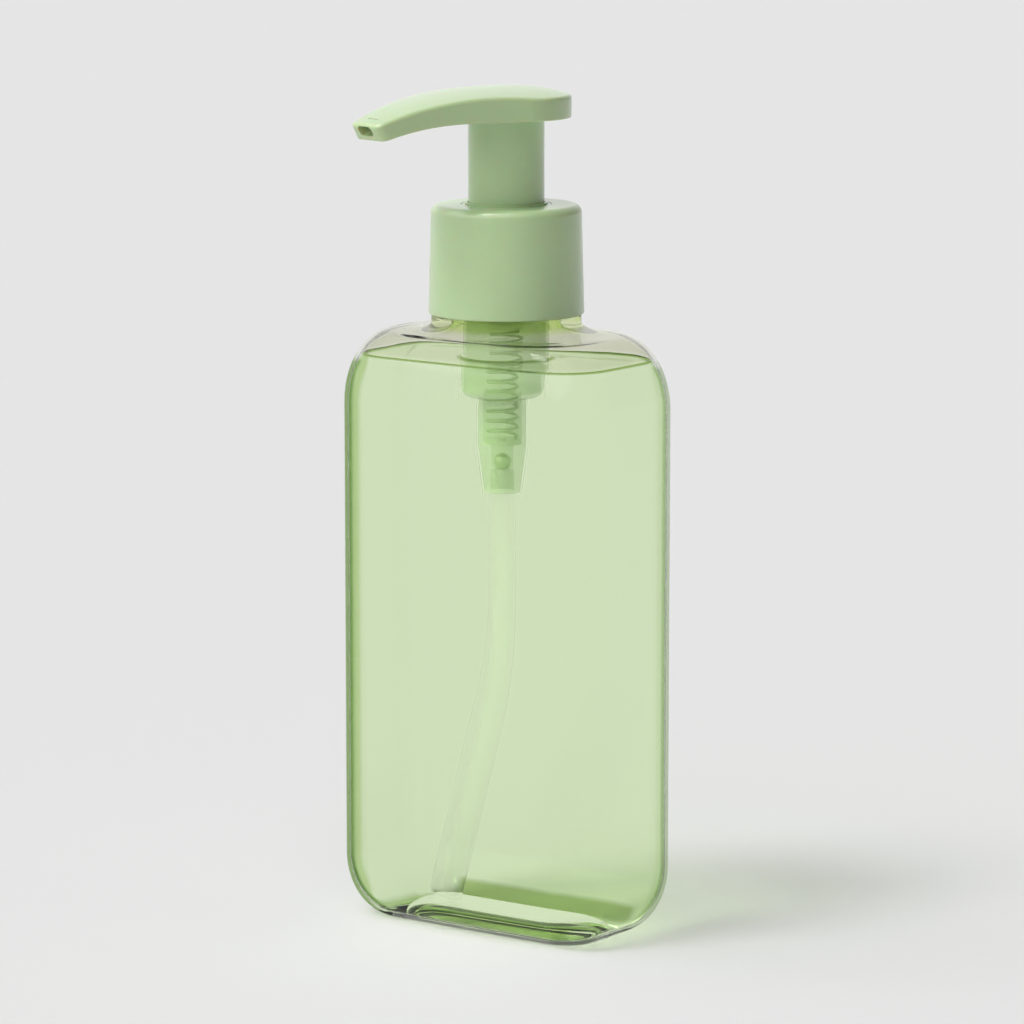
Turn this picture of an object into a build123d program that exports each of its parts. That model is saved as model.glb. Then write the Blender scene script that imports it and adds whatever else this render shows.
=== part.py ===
from build123d import *
import os
from math import cos, pi, radians, sin, sqrt, tan

# Face wash bottle with a lotion pump, in millimetres.
# The origin is on the neck's axis, in the plane that the bottle stands on.
# X runs along the wide face, the front is towards -Y and +Z is up.

# Bottle, a blown shell with a rounded oblong plan and crowned faces
body_length = 65.7
body_depth = 38.0
body_corner = 9.2
front_crown = 1.6
side_crown = 0.35
least_crown = 0.05
bottle_wall = 0.8
straight_top = 108.7

# Foot, where the sides round in to the standing ring
foot_rise = 13.4
foot_length = 48.9
foot_depth = 22.0
foot_corner = 6.2
ring_width = 3.2
push_up_height = 2.6
push_up_slope = 4.4

# Shoulder and neck root
shoulder_rise = 15.3
shoulder_length = 48.2
shoulder_depth = 31.2
shoulder_corner = 14.8
neck_root_step = 2.85
neck_root_flare = 2.1
neck_root_land = 1.5
neck_root_round = 0.4

# Neck finish, 28 mm nominal, with one and a half turns of thread
neck_diameter = 25.1
neck_height = 18.4
neck_wall = 1.75
rim_round = 0.5
thread_height = 1.15
thread_pitch = 4.233
thread_turns = 1.5
thread_root_width = 2.2
thread_crest_width = 1.0
thread_start = 4.4
thread_root_bite = 0.3

# Gel fill
gel_level = 118.2
gel_gap = 0.35
gel_skin_gap = 0.05

# Screw collar, with gaps to the neck's thread, to the flange under its panel and round the guide ring
collar_foot_gap = 0.3
collar_bore_gap = 0.5
collar_wall = 1.8
collar_taper = 0.6
collar_edge_round = 1.7
collar_foot_round = 0.35
collar_panel = 1.6
collar_panel_gap = 0.3
collar_hole_gap = 0.3
collar_recess_gap = 0.12
collar_recess_depth = 0.65
collar_ridge_gap = 0.45
collar_ridge_play = 0.3
collar_ridge_crest_width = 0.7

# Gasket on the neck's rim
gasket_thickness = 1.0
gasket_gap = 1.2
gasket_fit = 0.1

# Pump housing, from its flange down to the socket for the dip tube
flange_thickness = 1.4
mouth_gap = 0.7
mouth_wall = 1.5
mouth_depth = 17.0
mouth_taper = 2.6
vent_bore = 1.4
vent_rise = 4.0
cup_step = 1.3
cup_wall = 0.65
cup_length = 36.4
cup_floor = 1.2
cup_round = 2.2
chamber_bore = 8.2
chamber_wall = 1.0
chamber_length = 9.6
valve_length = 4.9
valve_gap = 0.5
valve_seat_lip = 0.3
valve_seat_thickness = 0.6
socket_wall = 1.3
socket_length = 4.5

# Guide ring, snapped into the housing's mouth through the collar's hole
guide_fit = 0.1
guide_wall = 0.5
guide_length = 10.5
guide_flange_lip = 0.4
guide_flange_thickness = 0.55
guide_flange_fit = 0.05
guide_rim_width = 0.45
guide_rim_height = 0.4

# Pump head, one moulding with its spout, skirt and boss
head_rise = 17.7
head_thickness = 6.5
head_diameter = 26.6
head_crown_radius = 46.0
head_back_radius = 48.0
head_edge_round = 0.8
head_under_round = 0.3
spout_heading = 255
spout_reach = 37.2
spout_width = 8.6
spout_pinch = 0.6
spout_corner = 1.8
spout_top_level = 4.5
spout_top_radius = 90.0
spout_under_level = 16.2
spout_under_radius = 62.0
tip_height = 3.8
tip_lean = 31
skirt_gap = 0.2
skirt_wall = 1.2
skirt_length = 31.5
boss_wall = 1.5
boss_length = 11.0
channel_bore = 2.4
channel_drop = 3.9
channel_level_length = 16.0
outlet_width = 4.4
outlet_height = 2.3
outlet_round = 0.9
outlet_depth = 3.0

# Stem, valve rod and piston
stem_outer = 6.8
stem_wall = 1.4
stem_plug = 8.0
stem_fit = 0.1
press_stroke = 14.0
press_clearance = 0.3
rod_foot_gap = 0.4
rod_foot_thickness = 1.4
rod_shank_length = 12.0
rod_rib = 1.0
rod_fit = 0.1
piston_gap = 0.2
piston_groove = 1.65
piston_fit = 0.15
piston_height = 5.4
piston_lip = 1.5

# Spring, ball and the cage between them
spring_gap = 0.6
spring_wire = 0.7
spring_turns = 11
cage_thickness = 1.0
cage_fit = 0.1
cage_hole = 1.6
cage_slots = 3
cage_slot_width = 1.0
cage_slot_place = 2.3
cage_slot_length = 1.8
ball_diameter = 3.6
ball_clearance = 0.1

# Dip tube, straight below the housing and then bent towards one end of the bottle
tube_outer = 4.9
tube_wall = 0.75
tube_fit = 0.05
tube_top_gap = 0.2
tube_bend_top = 67.0
tube_bend_radius = 100.0
tube_bend_angle = 15.4
tube_tail_length = 37.2

# Places of the sections through the rounded ends of the bottle, as shares of a quarter turn
foot_shares = (1.0, 0.84, 0.67, 0.5, 0.33, 0.16, 0.0)
shoulder_shares = (0.0, 0.18, 0.36, 0.54, 0.7, 0.85, 1.0)
flare_shares = (0.0, 0.2, 0.4, 0.6, 0.8, 1.0)
push_up_shares = (0.0, 0.25, 0.5, 0.75, 1.0)
root_corner_share = 0.985
facing_share = 0.6
overrun = 1.0

# Diameters, worked out from the neck inwards and outwards
neck_bore = neck_diameter - 2 * neck_wall
neck_root_diameter = neck_diameter + 2 * neck_root_step
collar_bore = neck_diameter + 2 * (thread_height + collar_bore_gap)
collar_bottom_diameter = collar_bore + 2 * collar_wall
collar_top_diameter = collar_bottom_diameter - 2 * collar_taper
collar_ridge_height = (collar_bore - neck_diameter) / 2 - collar_ridge_gap
collar_ridge_root_width = thread_pitch - thread_root_width - 2 * collar_ridge_play
gasket_diameter = collar_bore - 2 * gasket_gap
mouth_outer = neck_bore - 2 * mouth_gap
mouth_bore = mouth_outer - 2 * mouth_wall
gasket_bore = mouth_outer + 2 * gasket_fit
cup_outer = mouth_outer - 2 * cup_step
cup_bore = cup_outer - 2 * cup_wall
guide_outer = mouth_bore - 2 * guide_fit
guide_bore = guide_outer - 2 * guide_wall
collar_hole = guide_outer + 2 * collar_hole_gap
guide_flange_diameter = collar_hole + 2 * guide_flange_lip
collar_recess_diameter = guide_flange_diameter + 2 * collar_recess_gap
skirt_outer = guide_bore - 2 * skirt_gap
skirt_bore = skirt_outer - 2 * skirt_wall
piston_diameter = cup_bore - 2 * piston_gap
piston_waist = piston_diameter - 2 * piston_groove
piston_bore = stem_outer + 2 * piston_fit
stem_bore = stem_outer - 2 * stem_wall
boss_outer = stem_outer + 2 * (stem_fit + boss_wall)
chamber_outer = chamber_bore + 2 * chamber_wall
rod_foot_diameter = chamber_bore - 2 * rod_foot_gap
spring_outer = chamber_bore - 2 * spring_gap
valve_bore = ball_diameter + 2 * valve_gap
valve_seat_bore = ball_diameter - 2 * valve_seat_lip
tube_bore = tube_outer - 2 * tube_wall
socket_outer = tube_outer + 2 * (tube_fit + socket_wall)

# Levels, worked out from the sizes above
shoulder_top = straight_top + shoulder_rise
neck_base = shoulder_top + neck_root_flare + neck_root_land
neck_rim = neck_base + neck_height
collar_base = neck_base + collar_foot_gap
flange_base = neck_rim + gasket_thickness
flange_top = flange_base + flange_thickness
collar_top = flange_top + collar_panel_gap + collar_panel
mouth_base = flange_top - mouth_depth
cup_base = flange_base - cup_length
cup_inside = cup_base + cup_floor
chamber_base = cup_base - chamber_length
valve_seat_top = chamber_base - valve_length
socket_top = valve_seat_top - valve_seat_thickness
socket_base = socket_top - socket_length
cage_top = chamber_base + cage_thickness
head_underside = collar_top + head_rise
head_top = head_underside + head_thickness
boss_base = head_underside - boss_length
stem_top = boss_base + stem_plug
stem_base = cup_inside + press_stroke + press_clearance
rod_foot_base = stem_base - rod_foot_thickness
piston_base = stem_base + rod_fit
thread_base = neck_base + thread_start
thread_length = thread_pitch * thread_turns
tube_top = socket_top - tube_top_gap


def oblong(height, length, depth, corner, front, side):
    """A rounded oblong at a height, with slightly crowned sides that reach the length and depth given."""
    x, y = length / 2 - side, depth / 2 - front
    with BuildSketch(Plane.XY.offset(height)) as section:
        with BuildLine():
            ThreePointArc((-x, -y), (0, -y - front), (x, -y))
            ThreePointArc((x, -y), (x + side, 0), (x, y))
            ThreePointArc((x, y), (0, y + front), (-x, y))
            ThreePointArc((-x, y), (-x - side, 0), (-x, -y))
        make_face()
        fillet(section.vertices(), radius=corner)
    return section.sketch


def body_oblong(height, length, depth, corner, fullness, inset):
    """A section of the bottle, set in by a wall; fullness 1 crowns its faces and 0 hardly does."""
    front = least_crown + (front_crown - least_crown) * fullness
    side = least_crown + (side_crown - least_crown) * fullness
    return oblong(height, length - 2 * inset, depth - 2 * inset, corner - inset, front, side)


def foot_section(share, inset):
    """A section of the rounded foot: share 1 is its flat underside and 0 is where the sides are straight."""
    fullness = cos(share * pi / 2)
    height = inset + (foot_rise - inset) * (1 - sin(share * pi / 2))
    length = foot_length + (body_length - foot_length) * fullness
    depth = foot_depth + (body_depth - foot_depth) * fullness
    corner = foot_corner + (body_corner - foot_corner) * fullness
    return body_oblong(height, length, depth, corner, fullness, inset)


def shoulder_section(share, inset):
    """A section of the shoulder: share 0 is where the sides end and 1 is its top."""
    fullness = cos(share * pi / 2)
    height = straight_top + (shoulder_rise - inset) * sin(share * pi / 2)
    length = shoulder_length + (body_length - shoulder_length) * fullness
    depth = shoulder_depth + (body_depth - shoulder_depth) * fullness
    corner = shoulder_corner + (body_corner - shoulder_corner) * fullness
    return body_oblong(height, length, depth, corner, fullness, inset)


def flare_section(share, inset, root):
    """A section of the hollow flare that runs up from the shoulder's top to a nearly round root."""
    spread = 1 - sin(share * pi / 2)
    height = shoulder_top - inset + (neck_root_flare + inset) * (1 - cos(share * pi / 2))
    first_length, first_depth = shoulder_length - 2 * inset, shoulder_depth - 2 * inset
    length = root + (first_length - root) * spread
    depth = root + (first_depth - root) * spread
    root_corner = root_corner_share * root / 2
    corner = root_corner + (shoulder_corner - inset - root_corner) * spread
    return oblong(height, length, depth, corner, least_crown, least_crown)


def push_up_section(share, grow):
    """A section of the hollow under the foot, grown by a wall for the floor inside: share 1 is its top."""
    inset = ring_width + push_up_slope * (1 - cos(share * pi / 2))
    height = grow + push_up_height * sin(share * pi / 2)
    length = foot_length - 2 * inset + 2 * grow
    depth = foot_depth - 2 * inset + 2 * grow
    corner = min(foot_corner, depth / 2) - least_crown * 2
    return oblong(height, length, depth, corner, least_crown, least_crown)


def blown_form(inset, root):
    """The solid form of the bottle below its neck, set in by a wall, with a root of the diameter given."""
    with BuildPart() as form:
        loft([foot_section(share, inset) for share in foot_shares])
        extrude(foot_section(foot_shares[-1], inset), amount=straight_top - foot_rise)
        loft([shoulder_section(share, inset) for share in shoulder_shares])
        loft([flare_section(share, inset, root) for share in flare_shares], ruled=True)
    return form.part


def push_up(grow):
    """The hollow under the foot as a solid, from the floor or one wall above it."""
    with BuildPart() as hollow:
        loft([push_up_section(share, grow) for share in push_up_shares])
    return hollow.part


def thread_ridge(radius, reach, base, root_width, crest_width, bite):
    """One helical ridge: outwards from a radius where reach is positive, inwards where it is negative."""
    root_radius = radius - bite if reach > 0 else radius + bite
    with BuildPart() as ridge:
        with BuildLine() as path:
            Helix(pitch=thread_pitch, height=thread_length, radius=radius, center=(0, 0, base))
        with BuildSketch(Plane.XZ) as profile:
            with BuildLine():
                Polyline(
                    (root_radius, base - root_width / 2),
                    (radius + reach, base - crest_width / 2),
                    (radius + reach, base + crest_width / 2),
                    (root_radius, base + root_width / 2),
                    close=True,
                )
            make_face()
        sweep(sections=profile.sketch, path=path.wires()[0], is_frenet=True)
    return ridge.part


def turned(points):
    """A solid turned about the neck's axis from a closed outline of radius and height."""
    with BuildPart() as body:
        with BuildSketch(Plane.XZ):
            with BuildLine():
                Polyline(*points, close=True)
            make_face()
        revolve(axis=Axis.Z)
    return body.part


def post(diameter, base, top, edge_round):
    """A round post on the neck's axis with its top edge rounded."""
    with BuildPart() as body:
        with BuildSketch(Plane.XY.offset(base)):
            Circle(diameter / 2)
        extrude(amount=top - base)
        fillet(body.edges().group_by(Axis.Z)[-1], radius=edge_round)
    return body.part


# Bottle: outer form, neck and thread, less the space inside
with BuildPart() as cavity:
    add(blown_form(bottle_wall, neck_bore))
    add(push_up(bottle_wall), mode=Mode.SUBTRACT)
    with BuildSketch(Plane.XY.offset(bottle_wall)):
        Rectangle(foot_length, foot_depth)
    extrude(amount=-overrun, mode=Mode.SUBTRACT)

with BuildPart() as bottle:
    add(blown_form(0, neck_root_diameter))
    add(post(neck_root_diameter, neck_base - neck_root_land, neck_base, neck_root_round))
    add(post(neck_diameter, neck_base - neck_root_land, neck_rim, rim_round))
    add(
        thread_ridge(
            neck_diameter / 2,
            thread_height,
            thread_base,
            thread_root_width,
            thread_crest_width,
            thread_root_bite,
        )
    )
    add(cavity.part, mode=Mode.SUBTRACT)
    with BuildSketch(Plane.XY.offset(shoulder_top)):
        Circle(neck_bore / 2)
    extrude(amount=neck_rim - shoulder_top + overrun, mode=Mode.SUBTRACT)
    add(push_up(0), mode=Mode.SUBTRACT)
bottle.part.label = "bottle"

# Collar: tapered cup with a recessed hole for the guide ring and its own thread inside
with BuildPart() as collar:
    with BuildSketch(Plane.XZ):
        with BuildLine():
            Polyline(
                (collar_hole / 2, collar_top),
                (collar_top_diameter / 2, collar_top),
                (collar_bottom_diameter / 2, collar_base),
                (collar_bore / 2, collar_base),
                (collar_bore / 2, collar_top - collar_panel),
                (collar_hole / 2, collar_top - collar_panel),
                close=True,
            )
        make_face()
    revolve(axis=Axis.Z)
    fillet(collar.edges().group_by(Axis.Z)[-1].sort_by(SortBy.RADIUS)[-1], radius=collar_edge_round)
    fillet(collar.edges().group_by(Axis.Z)[0].sort_by(SortBy.RADIUS)[-1], radius=collar_foot_round)
    with BuildSketch(Plane.XY.offset(collar_top)):
        Circle(collar_recess_diameter / 2)
    extrude(amount=-collar_recess_depth, mode=Mode.SUBTRACT)
    add(
        thread_ridge(
            collar_bore / 2,
            -collar_ridge_height,
            thread_base - thread_pitch / 2,
            collar_ridge_root_width,
            collar_ridge_crest_width,
            thread_root_bite,
        )
    )
collar.part.label = "collar"

# Gasket: flat washer between the neck's rim and the housing's flange
with BuildPart() as gasket:
    with BuildSketch(Plane.XY.offset(neck_rim)):
        Circle(gasket_diameter / 2)
        Circle(gasket_bore / 2, mode=Mode.SUBTRACT)
    extrude(amount=gasket_thickness)
gasket.part.label = "gasket"

# Housing: flange, mouth with an air vent, cup, spring chamber, ball valve and tube socket in one moulding
with BuildPart() as housing:
    with BuildSketch(Plane.XZ):
        with BuildLine():
            Polyline(
                (0, socket_base),
                (socket_outer / 2, socket_base),
                (chamber_outer / 2, chamber_base),
                (chamber_outer / 2, cup_base),
                (cup_outer / 2, cup_base),
                (cup_outer / 2, mouth_base - mouth_taper),
                (mouth_outer / 2, mouth_base),
                (mouth_outer / 2, flange_base),
                (gasket_diameter / 2, flange_base),
                (gasket_diameter / 2, flange_top),
                (0, flange_top),
                close=True,
            )
        make_face()
    revolve(axis=Axis.Z)
    cup_edges = housing.edges().filter_by(GeomType.CIRCLE).filter_by_position(Axis.Z, cup_base, cup_base)
    fillet(cup_edges.sort_by(SortBy.RADIUS)[-1], radius=cup_round)
    with BuildSketch(Plane.XZ):
        with BuildLine():
            Polyline(
                (0, socket_base),
                (tube_outer / 2 + tube_fit, socket_base),
                (tube_outer / 2 + tube_fit, socket_top),
                (valve_seat_bore / 2, socket_top),
                (valve_seat_bore / 2, valve_seat_top),
                (valve_bore / 2, valve_seat_top),
                (valve_bore / 2, chamber_base),
                (chamber_bore / 2, chamber_base),
                (chamber_bore / 2, cup_inside),
                (cup_bore / 2, cup_inside),
                (cup_bore / 2, mouth_base),
                (mouth_bore / 2, mouth_base),
                (mouth_bore / 2, flange_top),
                (0, flange_top),
                close=True,
            )
        make_face()
    revolve(axis=Axis.Z, mode=Mode.SUBTRACT)
    with BuildSketch(Plane.YZ):
        with Locations((0, mouth_base + vent_rise)):
            Circle(vent_bore / 2)
    extrude(amount=neck_bore / 2, mode=Mode.SUBTRACT)
housing.part.label = "housing"

# Guide ring: sleeve in the housing's mouth, flange in the collar's recess and a low rim round the skirt
guide_flange_base = collar_top - collar_recess_depth + guide_flange_fit
guide_flange_top = guide_flange_base + guide_flange_thickness
with BuildPart() as guide_ring:
    add(
        turned(
            [
                (guide_bore / 2, collar_top - guide_length),
                (guide_outer / 2, collar_top - guide_length),
                (guide_outer / 2, guide_flange_base),
                (guide_flange_diameter / 2, guide_flange_base),
                (guide_flange_diameter / 2, guide_flange_top),
                (guide_bore / 2 + guide_rim_width, guide_flange_top),
                (guide_bore / 2 + guide_rim_width, collar_top + guide_rim_height),
                (guide_bore / 2, collar_top + guide_rim_height),
            ]
        )
    )
guide_ring.part.label = "guide_ring"

# Pump head: its plan, its side view and its crowned top cut to each other, with skirt, boss and channel
heading = radians(spout_heading)
spout_axis = (cos(heading), sin(heading), 0)
across_axis = (-sin(heading), cos(heading), 0)
side_plane = Plane(origin=(0, 0, 0), x_dir=spout_axis, z_dir=(sin(heading), -cos(heading), 0))
head_radius = head_diameter / 2
head_half_width = head_radius + overrun
head_ceiling = head_top + overrun


def arc_drop(run, radius):
    """How far an arc that starts level has dropped after a run."""
    return radius - sqrt(radius**2 - run**2)


def rim_edges(faces):
    """The edges round a group of faces: those that only one face of the group has."""
    edges = [edge for face in faces for edge in face.edges()]
    return [edge for edge in edges if sum(edge.is_same(other) for other in edges) == 1]


# Places on the spout: x along it, z upwards
lean_slope = tan(radians(tip_lean))
under_x = spout_reach - tip_height * lean_slope
under_z = head_underside - arc_drop(under_x - spout_under_level, spout_under_radius)
tip_x, tip_z = (under_x + spout_reach) / 2, under_z + tip_height / 2
crown_back_x, crown_front_x = -head_radius - head_thickness, spout_reach + head_thickness
crown_back_z = head_top - arc_drop(crown_back_x, head_back_radius)
crown_front_z = head_top - arc_drop(crown_front_x - spout_top_level, spout_top_radius)
crown_side_drop = arc_drop(head_half_width, head_crown_radius)

# The crowned top: an arched section swept along the top's side view
with BuildPart() as crown:
    with BuildLine(side_plane) as ridge:
        TangentArc((spout_top_level, head_top), (crown_front_x, crown_front_z), tangent=(1, 0))
        Line((0, head_top), (spout_top_level, head_top))
        TangentArc((0, head_top), (crown_back_x, crown_back_z), tangent=(-1, 0))
    ridge_wire = ridge.wires()[0]
    crown_plane = Plane(origin=ridge_wire @ 0, x_dir=across_axis, z_dir=ridge_wire % 0)
    down = -2 * head_thickness if crown_plane.y_dir.Z > 0 else 2 * head_thickness
    side_down = crown_side_drop * down / abs(down)
    with BuildSketch(crown_plane) as arched:
        with BuildLine():
            ThreePointArc((-head_half_width, side_down), (0, 0), (head_half_width, side_down))
            Line((head_half_width, side_down), (head_half_width, down))
            Line((head_half_width, down), (-head_half_width, down))
            Line((-head_half_width, down), (-head_half_width, side_down))
        make_face()
    sweep(sections=arched.sketch, path=ridge_wire)

tip_half = spout_width / 2
neck_turn = (head_radius - tip_half) / spout_reach
flank_x, flank_y = head_radius * neck_turn, head_radius * sqrt(1 - neck_turn**2)
middle_x, middle_y = (flank_x + spout_reach) / 2, (flank_y + tip_half) / 2 - spout_pinch
front_x = spout_reach + overrun
with BuildPart() as head:
    with BuildSketch(Plane(origin=(0, 0, under_z - overrun), x_dir=spout_axis, z_dir=(0, 0, 1))):
        with BuildLine():
            ThreePointArc((flank_x, flank_y), (-head_radius, 0), (flank_x, -flank_y))
            ThreePointArc((flank_x, -flank_y), (middle_x, -middle_y), (front_x, -tip_half))
            Line((front_x, -tip_half), (front_x, tip_half))
            ThreePointArc((front_x, tip_half), (middle_x, middle_y), (flank_x, flank_y))
        make_face()
    extrude(amount=head_ceiling - under_z + overrun)
    with BuildSketch(side_plane.offset(-head_half_width)):
        with BuildLine():
            tip_ceiling = (under_x + (head_ceiling - under_z) * lean_slope, head_ceiling)
            Line((crown_back_x, head_ceiling), (crown_back_x, head_underside))
            Line((crown_back_x, head_underside), (spout_under_level, head_underside))
            TangentArc((spout_under_level, head_underside), (under_x, under_z), tangent=(1, 0))
            Line((under_x, under_z), tip_ceiling)
            Line(tip_ceiling, (crown_back_x, head_ceiling))
        make_face()
    extrude(amount=2 * head_half_width, mode=Mode.INTERSECT)
    add(crown.part, mode=Mode.INTERSECT)
    tip_face = head.faces().sort_by(Axis((0, 0, 0), spout_axis))[-1]
    tip_edges = tip_face.edges().sort_by(Axis((0, 0, 0), across_axis))
    fillet([tip_edges[0], tip_edges[-1]], radius=spout_corner)
    under_faces = head.faces().filter_by(lambda face: face.normal_at().Z < -facing_share)
    fillet(rim_edges(under_faces), radius=head_under_round)
    top_faces = head.faces().filter_by(lambda face: face.normal_at().Z > facing_share)
    fillet(rim_edges(top_faces), radius=head_edge_round)
    with BuildSketch(Plane.XY.offset(head_underside)):
        Circle(skirt_outer / 2)
        Circle(skirt_bore / 2, mode=Mode.SUBTRACT)
    extrude(amount=-skirt_length)
    with BuildSketch(Plane.XY.offset(head_underside)):
        Circle(boss_outer / 2)
    extrude(amount=-boss_length)
    with BuildSketch(Plane.XY.offset(boss_base)):
        Circle(stem_outer / 2 + stem_fit)
    extrude(amount=stem_plug, mode=Mode.SUBTRACT)
    channel_level = head_top - channel_drop
    with BuildSketch(Plane.XY.offset(boss_base)):
        Circle(stem_bore / 2)
    extrude(amount=channel_level - boss_base, mode=Mode.SUBTRACT)
    with BuildLine(side_plane) as channel:
        Line((0, channel_level), (channel_level_length, channel_level))
        TangentArc((channel_level_length, channel_level), (tip_x, tip_z), tangent=(1, 0))
    with BuildSketch(Plane(origin=channel.wires()[0] @ 0, z_dir=spout_axis)):
        Circle(channel_bore / 2)
    sweep(path=channel.wires()[0], mode=Mode.SUBTRACT)
    tip_place = side_plane.from_local_coords((tip_x, tip_z, 0))
    tip_normal = side_plane.from_local_coords((1, -lean_slope, 0))
    with BuildSketch(Plane(origin=tip_place, x_dir=across_axis, z_dir=tip_normal)):
        RectangleRounded(outlet_width, outlet_height, outlet_round)
    extrude(amount=outlet_depth, both=True, mode=Mode.SUBTRACT)
head.part.label = "head"

# Stem: the tube that joins the head to the piston
with BuildPart() as stem:
    with BuildSketch(Plane.XY.offset(stem_base)):
        Circle(stem_outer / 2)
        Circle(stem_bore / 2, mode=Mode.SUBTRACT)
    extrude(amount=stem_top - stem_base)
stem.part.label = "stem"

# Valve rod: a foot that closes the stem and carries the spring, with a ribbed shank in the stem's bore
shank_width = stem_bore - 2 * rod_fit
with BuildPart() as valve_rod:
    with BuildSketch(Plane.XY.offset(rod_foot_base)):
        Circle(rod_foot_diameter / 2)
    extrude(amount=rod_foot_thickness)
    with BuildSketch(Plane.XY.offset(stem_base)):
        Rectangle(shank_width - rod_rib / 2, rod_rib)
        Rectangle(rod_rib, shank_width - rod_rib / 2)
    extrude(amount=rod_shank_length)
valve_rod.part.label = "valve_rod"

# Piston: a waisted ring with two sealing lips
with BuildPart() as piston:
    add(
        turned(
            [
                (piston_bore / 2, piston_base),
                (piston_diameter / 2, piston_base),
                (piston_diameter / 2, piston_base + piston_lip),
                (piston_waist / 2, piston_base + piston_lip),
                (piston_waist / 2, piston_base + piston_height - piston_lip),
                (piston_diameter / 2, piston_base + piston_height - piston_lip),
                (piston_diameter / 2, piston_base + piston_height),
                (piston_bore / 2, piston_base + piston_height),
            ]
        )
    )
piston.part.label = "piston"

# Spring: wire wound between the cage and the valve rod's foot
spring_length = rod_foot_base - cage_top - spring_wire
with BuildPart() as spring:
    with BuildLine() as coil:
        Helix(
            pitch=spring_length / spring_turns,
            height=spring_length,
            radius=(spring_outer - spring_wire) / 2,
            center=(0, 0, cage_top + spring_wire / 2),
        )
    with BuildSketch(Plane(origin=coil.wires()[0] @ 0, z_dir=coil.wires()[0] % 0)):
        Circle(spring_wire / 2)
    sweep(path=coil.wires()[0], is_frenet=True)
spring.part.label = "spring"

# Ball cage: a disc on the chamber's ledge that keeps the ball in and seats the spring
with BuildPart() as ball_cage:
    with BuildSketch(Plane.XY.offset(chamber_base)):
        Circle(chamber_bore / 2 - cage_fit)
        Circle(cage_hole / 2, mode=Mode.SUBTRACT)
        with PolarLocations(cage_slot_place, cage_slots):
            SlotOverall(cage_slot_length, cage_slot_width, rotation=90, mode=Mode.SUBTRACT)
    extrude(amount=cage_thickness)
ball_cage.part.label = "ball_cage"

# Ball: rests on the rim of the valve seat
ball_radius = ball_diameter / 2
ball_height = valve_seat_top + sqrt(ball_radius**2 - (valve_seat_bore / 2) ** 2) + ball_clearance
with BuildPart() as ball:
    with Locations((0, 0, ball_height)):
        Sphere(ball_radius)
ball.part.label = "ball"


def tube_path():
    """The dip tube's middle line: down from the socket, round a gentle bend and straight to its foot."""
    bend = radians(tube_bend_angle)
    bend_x = -tube_bend_radius * (1 - cos(bend))
    bend_z = tube_bend_top - tube_bend_radius * sin(bend)
    middle_bend_x = -tube_bend_radius * (1 - cos(bend / 2))
    middle_bend_z = tube_bend_top - tube_bend_radius * sin(bend / 2)
    foot_x, foot_z = bend_x - tube_tail_length * sin(bend), bend_z - tube_tail_length * cos(bend)
    with BuildLine(Plane.XZ) as path:
        Line((0, tube_top), (0, tube_bend_top))
        ThreePointArc((0, tube_bend_top), (middle_bend_x, middle_bend_z), (bend_x, bend_z))
        Line((bend_x, bend_z), (foot_x, foot_z))
    return path.wires()[0]


def along_tube(section):
    """A section in the plane of the socket's top, swept along the dip tube's middle line."""
    with BuildPart() as body:
        sweep(sections=section, path=tube_path())
    return body.part


# Dip tube: extruded tube, pressed into the housing's socket
with BuildSketch(Plane.XY.offset(tube_top)) as tube_ring:
    Circle(tube_outer / 2)
    Circle(tube_bore / 2, mode=Mode.SUBTRACT)
with BuildPart() as dip_tube:
    add(along_tube(tube_ring.sketch))
dip_tube.part.label = "dip_tube"

# Gel: what the bottle holds below the level, clear of the pump at rest and while the pump is lifted
gap = gel_gap
lift_play = thread_length * sin(radians(tube_bend_angle))
with BuildSketch(Plane.XY.offset(tube_top)) as tunnel:
    with Locations((-lift_play / 2, 0)):
        SlotOverall(tube_outer + 2 * gap + lift_play, tube_outer + 2 * gap)
with BuildPart() as gel:
    add(blown_form(bottle_wall + gel_skin_gap, neck_bore))
    add(push_up(bottle_wall + gel_skin_gap), mode=Mode.SUBTRACT)
    with BuildSketch(Plane.XY.offset(gel_level)):
        Rectangle(body_length, body_depth)
    extrude(amount=neck_rim - gel_level, mode=Mode.SUBTRACT)
    add(
        turned(
            [
                (0, socket_base - gap),
                (socket_outer / 2 + gap, socket_base - gap),
                (chamber_outer / 2 + gap, chamber_base - gap),
                (chamber_outer / 2 + gap, cup_base - gap),
                (cup_outer / 2 + gap, cup_base - gap),
                (cup_outer / 2 + gap, neck_rim),
                (0, neck_rim),
            ]
        ),
        mode=Mode.SUBTRACT,
    )
    add(along_tube(tunnel.sketch), mode=Mode.SUBTRACT)
gel.part.label = "gel"

os.makedirs("parts", exist_ok=True)
export_step(bottle.part, "parts/bottle.step")
export_step(gel.part, "parts/gel.step")
export_step(collar.part, "parts/collar.step")
export_step(gasket.part, "parts/gasket.step")
export_step(housing.part, "parts/housing.step")
export_step(guide_ring.part, "parts/guide_ring.step")
export_step(head.part, "parts/head.step")
export_step(stem.part, "parts/stem.step")
export_step(valve_rod.part, "parts/valve_rod.step")
export_step(piston.part, "parts/piston.step")
export_step(spring.part, "parts/spring.step")
export_step(ball_cage.part, "parts/ball_cage.step")
export_step(ball.part, "parts/ball.step")
export_step(dip_tube.part, "parts/dip_tube.step")
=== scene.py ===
import logging
import math
from dataclasses import dataclass, field
from enum import Enum

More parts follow.
